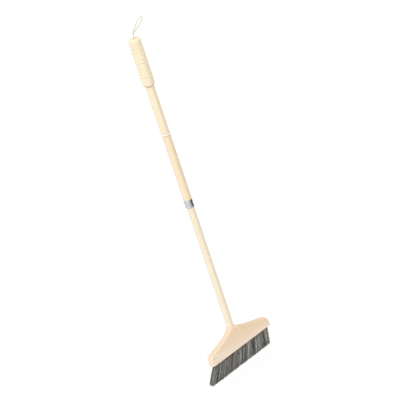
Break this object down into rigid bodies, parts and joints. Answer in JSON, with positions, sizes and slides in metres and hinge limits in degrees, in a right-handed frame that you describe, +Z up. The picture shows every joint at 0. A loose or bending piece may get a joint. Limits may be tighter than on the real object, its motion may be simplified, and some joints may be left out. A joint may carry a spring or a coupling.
{
  "type": "soft bristle broom",
  "caption": "Wooden broom with a sectional screwed pole, grooved grip with hanging cord, steel ferrule and a flared head of soft swept-back bristles.",
  "frame": {"origin": "middle of the bottom of the broom's box, under the bristle tips, cord left out", "axes": "+Z up along the pole to the hanging cord, -Y the side the head's front face looks to, +X to the right seen from the front"},
  "size_m": [0.2502, 0.0552, 1.1883],
  "materials": {
    "wood_pole": "satin lacquer",
    "wood_lower": "satin lacquer",
    "wood_ring": "smooth, pale",
    "wood_head": "oiled",
    "steel": "drawn",
    "brass": "plain",
    "washer": "matt",
    "cord": "twisted twine",
    "bristle": "soft hair"
  },
  "bodies": {
    "handle_top": {"grip": "wood_pole", "hang_cord": "cord", "cord_knot": "cord", "upper_pole": "wood_pole", "upper_insert": "brass"},
    "upper_joint_ring": {"joint_ring": "wood_ring"},
    "handle_middle": {"middle_pole": "wood_pole", "upper_stud": "steel", "lower_insert": "brass", "ferrule": "steel"},
    "lower_joint_washer": {"lower_washer": "washer"},
    "head": {"lower_pole": "wood_lower", "lower_stud": "steel", "head_block": "wood_head", "neck_pin": "wood_lower", "bristle_row_1": "bristle", "tuft_wire_1": "brass", "bristle_row_2": "bristle", "tuft_wire_2": "brass", "bristle_row_3": "bristle", "tuft_wire_3": "brass", "bristle_row_4": "bristle", "tuft_wire_4": "brass"}
  },
  "joints": [
    {"name": "upper_joint_travel", "type": "slide", "parent": "handle_middle", "child": "upper_joint_ring", "axis": [0, 0, 1], "range_m": [0, 0.024]},
    {"name": "upper_joint_screw", "type": "hinge", "parent": "upper_joint_ring", "child": "handle_top", "pos_m": [-0.003, -0.0002, 0.82529], "axis": [0, 0, 1], "range_deg": [0, 2881]},
    {"name": "lower_joint_travel", "type": "slide", "parent": "handle_middle", "child": "lower_joint_washer", "axis": [0, 0, -1], "range_m": [0, 0.024]},
    {"name": "lower_joint_screw", "type": "hinge", "parent": "lower_joint_washer", "child": "head", "pos_m": [-0.003, -0.0002, 0.59329], "axis": [0, 0, -1], "range_deg": [0, 2881]}
  ],
  "couplings": [
    {"joint": "upper_joint_screw", "follows": "upper_joint_travel", "rad_per_m": 2094.4},
    {"joint": "lower_joint_screw", "follows": "lower_joint_travel", "rad_per_m": 2094.4}
  ]
}
